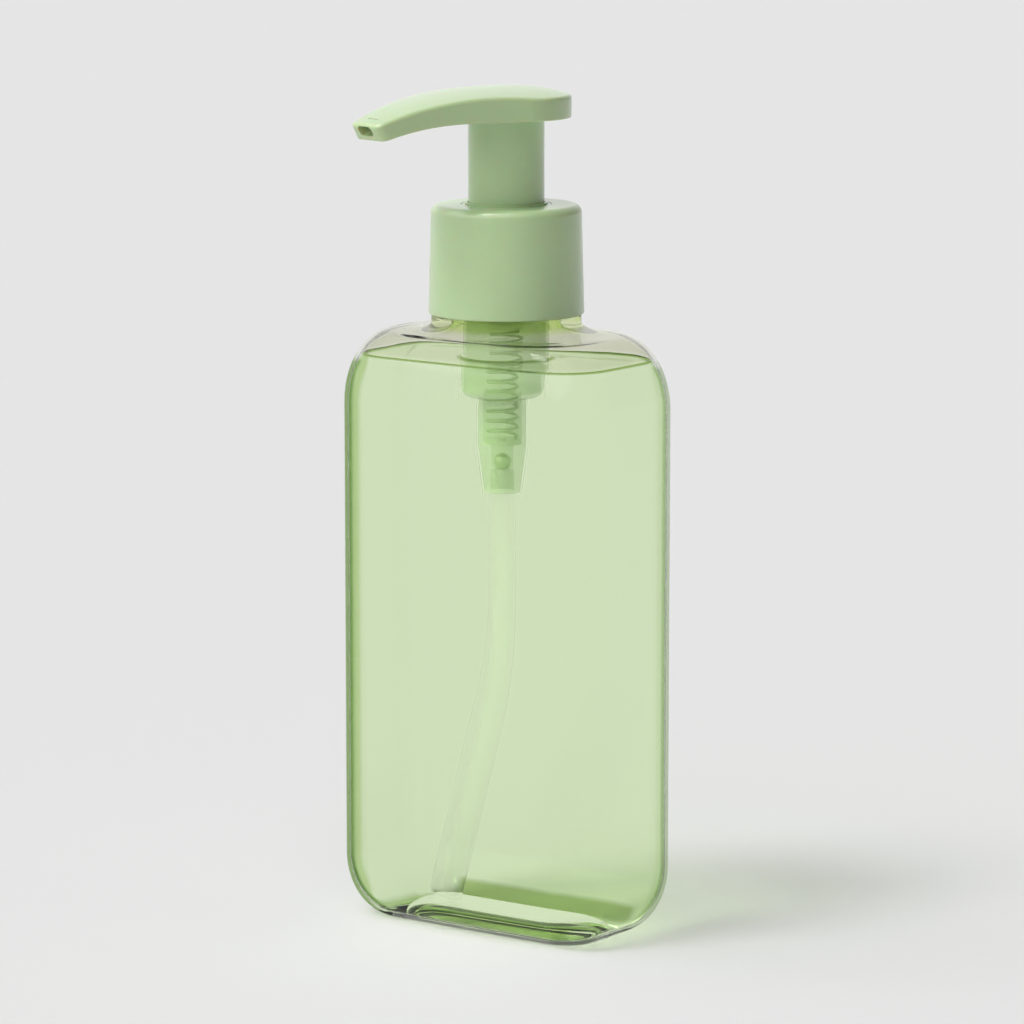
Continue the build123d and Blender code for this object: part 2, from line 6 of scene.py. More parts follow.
import bpy
import numpy as np
from mathutils import Euler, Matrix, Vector


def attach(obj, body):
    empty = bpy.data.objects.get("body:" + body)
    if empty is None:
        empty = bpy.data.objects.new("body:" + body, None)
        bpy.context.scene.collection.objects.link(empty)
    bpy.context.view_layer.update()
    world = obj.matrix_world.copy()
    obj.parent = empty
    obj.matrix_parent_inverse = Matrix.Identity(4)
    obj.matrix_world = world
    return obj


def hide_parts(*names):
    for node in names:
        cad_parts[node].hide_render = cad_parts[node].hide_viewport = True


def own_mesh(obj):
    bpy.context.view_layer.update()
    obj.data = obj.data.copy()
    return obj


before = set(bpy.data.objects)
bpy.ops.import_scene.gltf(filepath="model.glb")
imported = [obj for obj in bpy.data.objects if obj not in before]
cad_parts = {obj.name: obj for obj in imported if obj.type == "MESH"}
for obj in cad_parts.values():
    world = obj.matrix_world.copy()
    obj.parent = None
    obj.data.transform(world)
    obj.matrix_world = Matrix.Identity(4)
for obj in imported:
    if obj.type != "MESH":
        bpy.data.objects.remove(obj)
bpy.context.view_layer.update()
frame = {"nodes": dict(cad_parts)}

LOG = logging.getLogger("face_wash_bottle")
MM = 0.001
MIX_SHARE, MIX_FIRST, MIX_SECOND, MIX_RESULT = 0, 6, 7, 2
Sizes = np.ndarray | float
Colour = tuple[float, ...] | bpy.types.NodeSocket


class Body(Enum):
    """CAD bodies that a piece of the scene can ride on."""

    BOTTLE = "bottle"
    PUMP = "pump"


def linear(colour: str) -> tuple[float, float, float, float]:
    """Turns an sRGB hex colour into linear values, by the sRGB curve.

    Args:
        colour: six hex digits after a hash sign.

    Returns:
        Red, green, blue and an alpha of 1.
    """
    parts = np.array([int(colour[i : i + 2], 16) for i in (1, 3, 5)]) / 255
    values = np.where(parts <= 0.04045, parts / 12.92, ((parts + 0.055) / 1.055) ** 2.4)
    return (*(float(v) for v in values), 1.0)


def add_node(
    tree: bpy.types.NodeTree, kind: str, place: tuple[float, float], inputs: dict, **settings: object
) -> bpy.types.Node:
    """Adds a node with its settings, values and links.

    Args:
        tree: the tree that the node goes in.
        kind: the node's type name.
        place: where it sits in the editor.
        inputs: a value, or the output to link, for each input by its name or number.
        **settings: the node's own settings.

    Returns:
        The new node.
    """
    made = tree.nodes.new(kind)
    made.location = place
    for name, value in settings.items():
        setattr(made, name, value)
    for key, value in inputs.items():
        if isinstance(value, bpy.types.NodeSocket):
            tree.links.new(value, made.inputs[key])
        else:
            made.inputs[key].default_value = value
    return made


@dataclass(frozen=True)
class PaintedLightTint:
    """Painted light in one part of a clear piece: a deeper or greener colour that stands in for shade and
    reflection, such as an edge seen edge on, partly from the longer path through it and partly painted shade
    of the darker surroundings.

    Args:
        colour: the tint as an sRGB hex string.
        zones: an axis, and the distances from the origin in millimetres where the tint starts and is full.
        turned: the values of Layer Weight's facing output where it starts and is full, or None for all round.
        far_share: its strength at the end towards +X, with 1 at the other end; this fade is painted shade,
            deeper at the -X end because of how the light falls.
        half_length_mm: where those ends lie along X.
    """

    colour: str
    zones: tuple[tuple[str, float, float], ...]
    turned: tuple[float, float] | None = None
    far_share: float = 1.0
    half_length_mm: float = 32.0

    def over(self, tree: bpy.types.NodeTree, base: Colour, column: float) -> bpy.types.NodeSocket:
        """Mixes the tint over a colour.

        The share of tint is the product of a smooth step for each zone and one for the facing output.

        Args:
            tree: the material's tree.
            base: the colour, or the output that gives it.
            column: where the nodes sit in the editor.

        Returns:
            The mixed colour.
        """
        place = add_node(tree, "ShaderNodeTexCoord", (column - 1000, 0), {})
        split = add_node(tree, "ShaderNodeSeparateXYZ", (column - 850, 0), {0: place.outputs["Object"]})
        end = self.half_length_mm * MM
        fade = {"Value": split.outputs["X"], "From Min": -end, "From Max": end, "To Min": 1.0}
        fade["To Max"] = self.far_share
        share = add_node(tree, "ShaderNodeMapRange", (column - 500, 200), fade).outputs["Result"]
        steps = []
        for row, (axis, start, full) in enumerate(self.zones):
            spot = (column - 700, -200 * row)
            size = add_node(tree, "ShaderNodeMath", spot, {0: split.outputs[axis]}, operation="ABSOLUTE")
            steps.append({"Value": size.outputs[0], "From Min": start * MM, "From Max": full * MM})
        if self.turned:
            layer = add_node(tree, "ShaderNodeLayerWeight", (column - 700, 400), {})
            start, full = self.turned
            steps.append({"Value": layer.outputs["Facing"], "From Min": start, "From Max": full})
        for row, inputs in enumerate(steps):
            spot = (column - 500, -200 * row)
            step = add_node(tree, "ShaderNodeMapRange", spot, inputs, interpolation_type="SMOOTHSTEP")
            both = {0: share, 1: step.outputs["Result"]}
            spot = (column - 300, -200 * row)
            share = add_node(tree, "ShaderNodeMath", spot, both, operation="MULTIPLY").outputs[0]
        mix = {MIX_SHARE: share, MIX_FIRST: base, MIX_SECOND: linear(self.colour)}
        mixed = add_node(tree, "ShaderNodeMix", (column - 150, 0), mix, data_type="RGBA")
        return mixed.outputs[MIX_RESULT]


@dataclass(frozen=True)
class Finish:
    """One procedural finish.

    Args:
        name: the material's name.
        colour: the surface colour as an sRGB hex string.
        roughness: microfacet roughness.
        ior: index of refraction.
        transmission: share of light let through.
        metallic: 1 for metal.
        subsurface: share of light scattered under the surface.
        scatter_mm: how far that light spreads, in millimetres.
        alpha: opacity of the whole surface.
        shade: share of a lamp's light that the surface keeps from what lies behind it.
        coat: weight of the glossy skin on top.
        coat_roughness: roughness of that skin.
        grain_mm: wavelength of the surface's grain or waviness, or 0 for none.
        grain_height_mm: height of that grain.
        cloud_mm: wavelength of a faint change of colour, or 0 for none.
        cloud_share: how much darker the colour gets in it.
        painted_light_tints: painted light in parts of the piece: deeper or greener colours that stand in for
            shade and reflection.
    """

    name: str
    colour: str
    roughness: float = 0.4
    ior: float = 1.5
    transmission: float = 0.0
    metallic: float = 0.0
    subsurface: float = 0.0
    scatter_mm: float = 1.0
    alpha: float = 1.0
    shade: float = 1.0
    coat: float = 0.0
    coat_roughness: float = 0.03
    grain_mm: float = 0.0
    grain_height_mm: float = 0.0
    cloud_mm: float = 0.0
    cloud_share: float = 0.0
    painted_light_tints: tuple[PaintedLightTint, ...] = ()

    def material(self) -> bpy.types.Material:
        """Makes the finish's material, with its grain, change of colour and painted shade and reflection
        where it has them.

        Returns:
            The material.
        """
        made = bpy.data.materials.new(self.name)
        made.use_nodes = True
        tree = made.node_tree
        tree.nodes.clear()
        place = add_node(tree, "ShaderNodeTexCoord", (-1000, -600), {})
        base = linear(self.colour)
        if self.cloud_mm:
            noise = {"Vector": place.outputs["Object"], "Scale": 1 / (self.cloud_mm * MM)}
            noise = add_node(tree, "ShaderNodeTexNoise", (-800, -600), noise)
            darker = (*(v * (1 - self.cloud_share) for v in base[:3]), 1.0)
            mix = {MIX_SHARE: noise.outputs["Fac"], MIX_FIRST: base, MIX_SECOND: darker}
            mixed = add_node(tree, "ShaderNodeMix", (-500, -600), mix, data_type="RGBA")
            base = mixed.outputs[MIX_RESULT]
        # The painted shade and painted reflection go on one over another.
        for count, tint in enumerate(self.painted_light_tints):
            base = tint.over(tree, base, -1000.0 * (len(self.painted_light_tints) - count - 1))
        alpha = self.alpha
        if self.shade < 1:
            path = add_node(tree, "ShaderNodeLightPath", (-500, -300), {})
            alpha = {"Value": path.outputs["Is Shadow Ray"], "To Min": self.alpha, "To Max": self.shade}
            alpha = add_node(tree, "ShaderNodeMapRange", (-300, -300), alpha).outputs["Result"]
        inputs = {
            "Base Color": base,
            "Roughness": self.roughness,
            "IOR": self.ior,
            "Transmission Weight": self.transmission,
            "Metallic": self.metallic,
            "Subsurface Weight": self.subsurface,
            "Subsurface Scale": self.scatter_mm * MM,
            "Alpha": alpha,
            "Coat Weight": self.coat,
            "Coat Roughness": self.coat_roughness,
        }
        if self.grain_mm:
            grain = {"Vector": place.outputs["Object"], "Scale": 1 / (self.grain_mm * MM)}
            grain = add_node(tree, "ShaderNodeTexNoise", (-800, -900), grain)
            bump = {"Height": grain.outputs["Fac"], "Distance": self.grain_height_mm * MM}
            inputs["Normal"] = add_node(tree, "ShaderNodeBump", (-500, -900), bump).outputs["Normal"]
        shader = add_node(tree, "ShaderNodeBsdfPrincipled", (0, 0), inputs)
        add_node(tree, "ShaderNodeOutputMaterial", (400, 0), {"Surface": shader.outputs["BSDF"]})
        return made


# Blown PET: clear and glossy, with the slow waviness that blowing leaves in its walls. Its colours are
# painted
# light: the wall above the gel's level is painted a little greyer, as painted shade; its corners below that
# level are painted deeper green where seen edge on, as painted shade of the gel and the darker surroundings
# behind them, fading towards +X; and the neck's land under the collar is painted green, as painted
# reflection of the collar's green that the thick land carries. Its index is far below the real one, because
# so thin a wall would otherwise show dark edges.
CLEAR_PLASTIC = Finish(
    "clear_plastic",
    "#FDFEFB",
    roughness=0.0,
    ior=1.03,
    transmission=1.0,
    shade=0.04,
    coat=0.25,
    grain_mm=14.0,
    grain_height_mm=0.012,
    painted_light_tints=(
        # Painted shade: the wall from just above the gel's level up is a little greyer.
        PaintedLightTint("#EEEFE2", (("Z", 118.6, 120.0),)),
        # Painted shade: the corners below the gel's level are deeper green where seen edge on, weaker towards
        # +X.
        PaintedLightTint(
            "#8DB15F",
            (("Z", 118.2, 117.2), ("X", 20.0, 22.5), ("Y", 7.5, 9.5)),
            turned=(0.5, 0.64),
            far_share=0.6,
        ),
        # Painted reflection: a green band on the neck's land under the collar, for the collar's green that it
        # carries.
        PaintedLightTint("#D2E69A", (("Z", 124.6, 125.6), ("Z", 128.4, 127.6))),
    ),
)

# Tinted gel: as clear as water. Its index is below water's, which keeps the pump straight in it. The rest of
# its colour is painted shade: its tall corners and its foot are painted deeper where they are seen edge on,
# partly for the longer path through them, and fade towards +X; its meniscus is painted as a thin dark line;
# and its floor round the hollow under the foot is painted deepest.
GEL = Finish(
    "gel",
    "#EAFAD6",
    roughness=0.0,
    ior=1.06,
    transmission=1.0,
    shade=0.5,
    painted_light_tints=(
        # Painted shade: the tall corners deeper green where seen edge on, partly the longer path, weaker
        # towards +X.
        PaintedLightTint("#A8CA72", (("X", 22.5, 24.0), ("Y", 12.5, 14.5)), turned=(0.24, 0.42), far_share=0.4),
        # Painted shade: the foot deeper green where seen edge on, partly the longer path, weaker towards +X.
        PaintedLightTint("#8DB358", (("Z", 16.0, 8.0), ("X", 19.0, 23.0)), turned=(0.48, 0.62), far_share=0.4),
        # Painted shade: a thin dark line where the gel climbs the wall at its level.
        PaintedLightTint("#6F9430", (("Z", 118.5, 118.8),)),
        # Painted shade: the gel's floor round the hollow under the foot, deepest where seen face on.
        PaintedLightTint("#8FAF58", (("Z", 4.4, 3.2), ("X", 22.0, 19.0)), turned=(0.62, 0.45)),
    ),
)

# The gel's face towards the pump and the tube, which it wets: next to nothing marks it.
GEL_TUNNEL = Finish("gel_tunnel", "#FFFFFF", roughness=0.0, ior=1.01, transmission=1.0, shade=0.0)

# Injection moulded polypropylene in pale green: satin, and it lets some light in. Its grain is drawn coarser
# than the real one, so that it shows.
GREEN_PLASTIC = Finish(
    "green_plastic",
    "#B5CF9C",
    roughness=0.3,
    subsurface=0.5,
    scatter_mm=2.5,
    coat=0.6,
    coat_roughness=0.22,
    grain_mm=0.5,
    grain_height_mm=0.002,
    cloud_mm=7.0,
    cloud_share=0.04,
)

# The same plastic without pigment: milky, and see-through where it is thin. The housing is the thickest, and
# the drawn tube is clearest.
NATURAL_PLASTIC = Finish(
    "natural_plastic", "#CFE4BA", roughness=0.3, alpha=0.25, cloud_mm=4.0, cloud_share=0.06
)
HOUSING_PLASTIC = Finish(
    "housing_plastic", "#C2DEA9", roughness=0.3, alpha=0.28, cloud_mm=4.0, cloud_share=0.06
)
TUBE_PLASTIC = Finish("tube_plastic", "#E6F5D6", roughness=0.25, alpha=0.05, cloud_mm=4.0, cloud_share=0.06)

# Drawn stainless wire and a ground ball: a soft grey gleam.
STEEL = Finish("steel", "#C4D0B4", roughness=0.3, metallic=1.0, cloud_mm=0.8, cloud_share=0.1)

# Matt painted board, which runs on as the backdrop.
FLOOR = Finish("floor", "#E4E4E4", roughness=0.9, ior=1.2)


def place_mesh(
    name: str, points: np.ndarray, faces: list, *materials: bpy.types.Material
) -> bpy.types.Object:
    """Makes a smooth-shaded object from points in millimetres.

    Args:
        name: the object's name.
        points: an array of points in millimetres.
        faces: the faces as lists of point indices.
        *materials: the object's materials, the first of them on every face.

    Returns:
        The new object, linked to the scene.
    """
    mesh = bpy.data.meshes.new(name)
    mesh.from_pydata((points * MM).tolist(), [], faces)
    for material in materials:
        mesh.materials.append(material)
    mesh.shade_smooth()
    made = bpy.data.objects.new(name, mesh)
    bpy.context.scene.collection.objects.link(made)
    return made


def ring_faces(rings: int, count: int) -> np.ndarray:
    """The quads between successive rings of points.

    Args:
        rings: how many rings there are.
        count: points in each ring.

    Returns:
        An array of quads.
    """
    row, column = np.meshgrid(np.arange(rings - 1), np.arange(count), indexing="ij")
    after = (column + 1) % count
    low, high = row * count, (row + 1) * count
    return np.stack([low + column, low + after, high + after, high + column], axis=-1).reshape(-1, 4)


def closed_stack(rings: np.ndarray, start: int = 0) -> tuple[np.ndarray, list]:
    """Joins a stack of rings into one skin that is closed by a fan at each end.

    Args:
        rings: an array of rings, points and coordinates.
        start: index of the first point.

    Returns:
        The points and the faces.
    """
    levels, count = rings.shape[:2]
    points = np.concatenate([rings.reshape(-1, 3), rings[0].mean(0)[None], rings[-1].mean(0)[None]])
    first, last = levels * count, levels * count + 1
    column = np.arange(count)
    after = (column + 1) % count
    top = (levels - 1) * count
    start_fan = np.stack([np.full(count, first), after, column], axis=-1)
    end_fan = np.stack([np.full(count, last), top + column, top + after], axis=-1)
    faces = [(part + start).tolist() for part in (ring_faces(levels, count), start_fan, end_fan)]
    return points, sum(faces, [])


def quarter_steps(count: int) -> np.ndarray:
    """Angles from zero to a quarter turn.

    Args:
        count: how many angles there are.

    Returns:
        The angles in radians.
    """
    return np.linspace(0, math.pi / 2, count)


@dataclass(frozen=True)
class Outline:
    """Steps that a section's outline takes along its side, round its corner and along its front."""

    side_steps: int = 8
    corner_steps: int = 28
    front_steps: int = 16

    @property
    def count(self) -> int:
        """Points in one ring."""
        return 4 * (self.side_steps + self.corner_steps + self.front_steps)

    def oblongs(
        self, length: Sizes, depth: Sizes, corner: Sizes, front: Sizes, side: Sizes, height: Sizes
    ) -> np.ndarray:
        """Rings of rounded oblongs whose crowned sides run smoothly into their corners.

        Each side is a wide arc round a centre on its axis. A corner is an arc that touches two of them, so
        its centre lies as far from each of theirs as their radius less its own. Four mirrored quarters close
        a ring.

        Args:
            length: overall lengths along X.
            depth: overall depths along Y.
            corner: corner radii.
            front: crowns of the long sides.
            side: crowns of the short sides.
            height: heights along Z.

        Returns:
            An array of rings, points and coordinates.
        """
        sizes = (np.atleast_1d(v).astype(float) for v in (length, depth, corner, front, side, height))
        length, depth, corner, front, side, height = (v[:, None] for v in np.broadcast_arrays(*sizes))
        a, b = length / 2, depth / 2
        front_radius = ((a - side) ** 2 + front**2) / (2 * front)
        side_radius = ((b - front) ** 2 + side**2) / (2 * side)
        front_y, side_x = b - front_radius, a - side_radius
        apart = np.hypot(side_x, front_y)
        along_x, along_y = side_x / apart, -front_y / apart
        reach_front, reach_side = front_radius - corner, side_radius - corner
        middle = (apart**2 + reach_front**2 - reach_side**2) / (2 * apart)
        offset = np.sqrt(reach_front**2 - middle**2)
        corner_x = middle * along_x + offset * along_y
        corner_y = front_y + middle * along_y - offset * along_x
        side_turn = np.arctan2(corner_y, corner_x - side_x)
        front_turn = np.arctan2(corner_y - front_y, corner_x)
        counts = (self.side_steps, self.corner_steps, self.front_steps)
        side_share, corner_share, front_share = (np.linspace(0, 1, steps + 1)[None] for steps in counts)
        on_side = side_share[:, :-1] * side_turn
        on_corner = side_turn + corner_share[:, :-1] * (front_turn - side_turn)
        on_front = front_turn + front_share * (math.pi / 2 - front_turn)
        x = np.concatenate(
            [
                side_x + side_radius * np.cos(on_side),
                corner_x + corner * np.cos(on_corner),
                front_radius * np.cos(on_front),
            ],
            axis=1,
        )
        y = np.concatenate(
            [
                side_radius * np.sin(on_side),
                corner_y + corner * np.sin(on_corner),
                front_y + front_radius * np.sin(on_front),
            ],
            axis=1,
        )
        full_x = np.concatenate([x[:, :-1], -x[:, :0:-1], -x[:, :-1], x[:, :0:-1]], axis=1)
        full_y = np.concatenate([y[:, :-1], y[:, :0:-1], -y[:, :-1], -y[:, :0:-1]], axis=1)
        return np.stack([full_x, full_y, np.broadcast_to(height, full_x.shape)], axis=-1)

    def circles(self, radius: Sizes, height: Sizes, like: np.ndarray) -> np.ndarray:
        """Rings of circles whose points lie in the same directions as those of another ring.

        X and Y are the radius times the cosine and the sine of the direction.

        Args:
            radius: the circles' radii.
            height: the circles' heights.
            like: the ring whose directions they take.

        Returns:
            An array of rings, points and coordinates.
        """
        turn = np.arctan2(like[:, 1], like[:, 0])[None]
        radius, height = (np.atleast_1d(v).astype(float)[:, None] for v in (radius, height))
        x, y = radius * np.cos(turn), radius * np.sin(turn)
        return np.stack([x, y, np.broadcast_to(height, x.shape)], axis=-1)


@dataclass(frozen=True)
class BottleForm:
    """Driving sizes of the blown bottle in millimetres, and the rings that follow from them.

    The thread's run-outs are how many of them would fit in its length.
    """

    body_length: float = 65.7
    body_depth: float = 38.0
    body_corner: float = 9.2
    front_crown: float = 1.6
    side_crown: float = 0.35
    least_crown: float = 0.05
    wall: float = 0.8
    straight_top: float = 108.7
    foot_rise: float = 13.4
    foot_length: float = 48.9
    foot_depth: float = 22.0
    foot_corner: float = 6.2
    ring_width: float = 3.2
    push_up_height: float = 2.6
    push_up_slope: float = 4.4
    shoulder_rise: float = 15.3
    shoulder_length: float = 48.2
    shoulder_depth: float = 31.2
    shoulder_corner: float = 14.8
    root_diameter: float = 30.8
    root_flare: float = 2.1
    root_land: float = 1.5
    root_round: float = 0.4
    neck_diameter: float = 25.1
    neck_height: float = 18.4
    neck_bore: float = 21.6
    rim_round: float = 0.5
    rim_steps: int = 6
    thread_reach: float = 1.15
    thread_pitch: float = 4.233
    thread_turns: float = 1.5
    thread_start: float = 4.4
    thread_root_width: float = 2.2
    thread_crest_width: float = 1.0
    thread_sink: float = 0.3
    thread_steps: int = 140
    thread_run_outs: float = 14.0
    round_steps: int = 26
    straight_steps: int = 10
    outline: Outline = field(default_factory=Outline)

    @property
    def shoulder_top(self) -> float:
        """Height of the shoulder's top."""
        return self.straight_top + self.shoulder_rise

    @property
    def neck_base(self) -> float:
        """Height of the land that the collar comes down to."""
        return self.shoulder_top + self.root_flare + self.root_land

    @property
    def neck_rim(self) -> float:
        """Height of the neck's rim."""
        return self.neck_base + self.neck_height

    @property
    def foot_section(self) -> tuple[float, float, float]:
        """Length, depth and corner of the section on the standing ring."""
        return self.foot_length, self.foot_depth, self.foot_corner

    @property
    def shoulder_section(self) -> tuple[float, float, float]:
        """Length, depth and corner of the section at the shoulder's top."""
        return self.shoulder_length, self.shoulder_depth, self.shoulder_corner

    def sections(
        self, other: tuple[float, float, float], fullness: np.ndarray, height: np.ndarray, inset: float
    ) -> np.ndarray:
        """Rings between the body's section and another, set in by a wall.

        Each size goes in a straight line from the other section's to the body's as the fullness grows.

        Args:
            other: length, depth and corner of the other section.
            fullness: 1 at the body's section and 0 at the other.
            height: the rings' heights.
            inset: how far they are set in.

        Returns:
            An array of rings.
        """
        length, depth, corner = other
        length = length + (self.body_length - length) * fullness - 2 * inset
        depth = depth + (self.body_depth - depth) * fullness - 2 * inset
        corner = corner + (self.body_corner - corner) * fullness - inset
        front = self.least_crown + (self.front_crown - self.least_crown) * fullness
        side = self.least_crown + (self.side_crown - self.least_crown) * fullness
        return self.outline.oblongs(length, depth, corner, front, side, height)

    def push_up(self, inset: float) -> np.ndarray:
        """Rings of the hollow under the foot, from its crown out to the standing ring.

        A quarter ellipse: the height goes with the sine of the turn, the way in with one less its cosine.

        Args:
            inset: 0 for the outside, or the wall's thickness for the floor inside.

        Returns:
            An array of rings.
        """
        turn = quarter_steps(self.round_steps // 2)[::-1]
        in_from_foot = self.ring_width + self.push_up_slope * (1 - np.cos(turn)) - inset
        height = inset + self.push_up_height * np.sin(turn)
        length, depth = self.foot_length - 2 * in_from_foot, self.foot_depth - 2 * in_from_foot
        corner = np.minimum(self.foot_corner, depth / 2) - 2 * self.least_crown
        return self.outline.oblongs(length, depth, corner, self.least_crown, self.least_crown, height)

    def foot(self, inset: float) -> np.ndarray:
        """Rings of the rounded foot, from the standing ring up to the straight sides.

        A quarter ellipse: the fullness is the cosine of the turn, and the height goes with one less its sine.

        Args:
            inset: how far they are set in.

        Returns:
            An array of rings.
        """
        turn = quarter_steps(self.round_steps)[::-1]
        height = inset + (self.foot_rise - inset) * (1 - np.sin(turn))
        return self.sections(self.foot_section, np.cos(turn), height, inset)

    def sides(self, inset: float) -> np.ndarray:
        """Rings of the straight sides, between the foot and the shoulder.

        Args:
            inset: how far they are set in.

        Returns:
            An array of rings.
        """
        height = np.linspace(self.foot_rise, self.straight_top, self.straight_steps)[1:-1]
        return self.sections(self.foot_section, np.ones_like(height), height, inset)

    def shoulder(self, inset: float, top: float | None = None) -> np.ndarray:
        """Rings of the shoulder.

        A quarter ellipse: the fullness is the cosine of the turn, and the height goes with its sine.

        Args:
            inset: how far they are set in.
            top: height of the last ring, or None for the shoulder's top.

        Returns:
            An array of rings.
        """
        rise = self.shoulder_rise - inset
        last = math.pi / 2 if top is None else math.asin((top - self.straight_top) / rise)
        turn = np.linspace(0, last, self.round_steps)
        height = self.straight_top + rise * np.sin(turn)
        return self.sections(self.shoulder_section, np.cos(turn), height, inset)

    def flare(self, inset: float, root: float) -> np.ndarray:
        """Rings of the hollow flare between the shoulder's top and a round root.

        A quarter ellipse that curves inwards: the way left to the circle goes with one less the sine of the
        turn, and the height with one less its cosine.

        Args:
            inset: how far the shoulder is set in.
            root: the root's diameter.

        Returns:
            An array of rings.
        """
        turn = quarter_steps(self.round_steps // 2)[1:]
        start = self.shoulder(inset)[-1]
        spread = (1 - np.sin(turn))[:, None]
        height = self.shoulder_top - inset + (self.root_flare + inset) * (1 - np.cos(turn))
        circles = self.outline.circles(np.full_like(height, root / 2), height, start)
        circles[..., :2] += (start[None, :, :2] - circles[..., :2]) * spread[..., None]
        return circles

    def neck(self, like: np.ndarray) -> np.ndarray:
        """Rings of the neck, up its outside, over its rim and down its bore.

        A profile of radius and height, with a quarter circle at each edge, goes round the axis.

        Args:
            like: the ring whose directions they take.

        Returns:
            An array of rings.
        """
        turn = quarter_steps(self.rim_steps)
        root, neck, bore = self.root_diameter / 2, self.neck_diameter / 2, self.neck_bore / 2
        radius = np.concatenate(
            [
                root - self.root_round + self.root_round * np.cos(turn),
                [neck],
                neck - self.rim_round + self.rim_round * np.cos(turn),
                [bore, bore],
            ]
        )
        height = np.concatenate(
            [
                self.neck_base - self.root_round + self.root_round * np.sin(turn),
                [self.neck_base],
                self.neck_rim - self.rim_round + self.rim_round * np.sin(turn),
                [self.neck_rim, self.neck_base],
            ]
        )
        return self.outline.circles(radius, height, like)

    def shell(self) -> tuple[np.ndarray, list]:
        """The whole shell, outside and inside, with its thread.

        Returns:
            The points and the faces.
        """
        outer = [
            self.push_up(0),
            self.foot(0),
            self.sides(0),
            self.shoulder(0)[:-1],
            self.flare(0, self.root_diameter),
        ]
        neck = self.neck(outer[-1][-1])
        inner = [
            self.flare(self.wall, self.neck_bore)[::-1],
            self.shoulder(self.wall)[::-1],
            self.sides(self.wall)[::-1],
            self.foot(self.wall)[::-1],
            self.push_up(self.wall)[::-1],
        ]
        points, faces = closed_stack(np.concatenate([*outer, neck, *inner]))
        ridge_points, ridge_faces = self.thread(len(points))
        return np.concatenate([points, ridge_points]), faces + ridge_faces

    def thread(self, start: int) -> tuple[np.ndarray, list]:
        """The helical ridge round the neck, which sinks into it at both ends.

        A trapezium is carried along a helix: the height grows with the turn, and the crest with the distance
        from the nearer end, up to its full reach.

        Args:
            start: index of its first point in the shell.

        Returns:
            The points and the faces.
        """
        share = np.linspace(0, 1, self.thread_steps)[:, None]
        turn = 2 * math.pi * self.thread_turns * share
        swell = np.clip(np.minimum(share, 1 - share) * self.thread_run_outs, 0, 1)
        root, crest = self.thread_root_width, self.thread_crest_width
        on_crest = np.array([[False, True, True, False]])
        radius = self.neck_diameter / 2 + np.where(on_crest, self.thread_reach * swell, -self.thread_sink)
        half = np.array([[root, crest, -crest, -root]]) / 2
        height = self.neck_base + self.thread_start + self.thread_pitch * self.thread_turns * share + half
        rings = np.stack([radius * np.cos(turn), radius * np.sin(turn), height], axis=-1)
        return closed_stack(rings, start)


@dataclass
class Bottle:
    """The clear shell."""

    form: BottleForm
    material: bpy.types.Material

    def build(self) -> bpy.types.Object:
        """Makes the shell in place of the CAD bottle.

        Returns:
            The shell.
        """
        points, faces = self.form.shell()
        shell = place_mesh("bottle_shell", points, faces, self.material)
        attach(shell, Body.BOTTLE.value)
        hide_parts("bottle")
        return shell


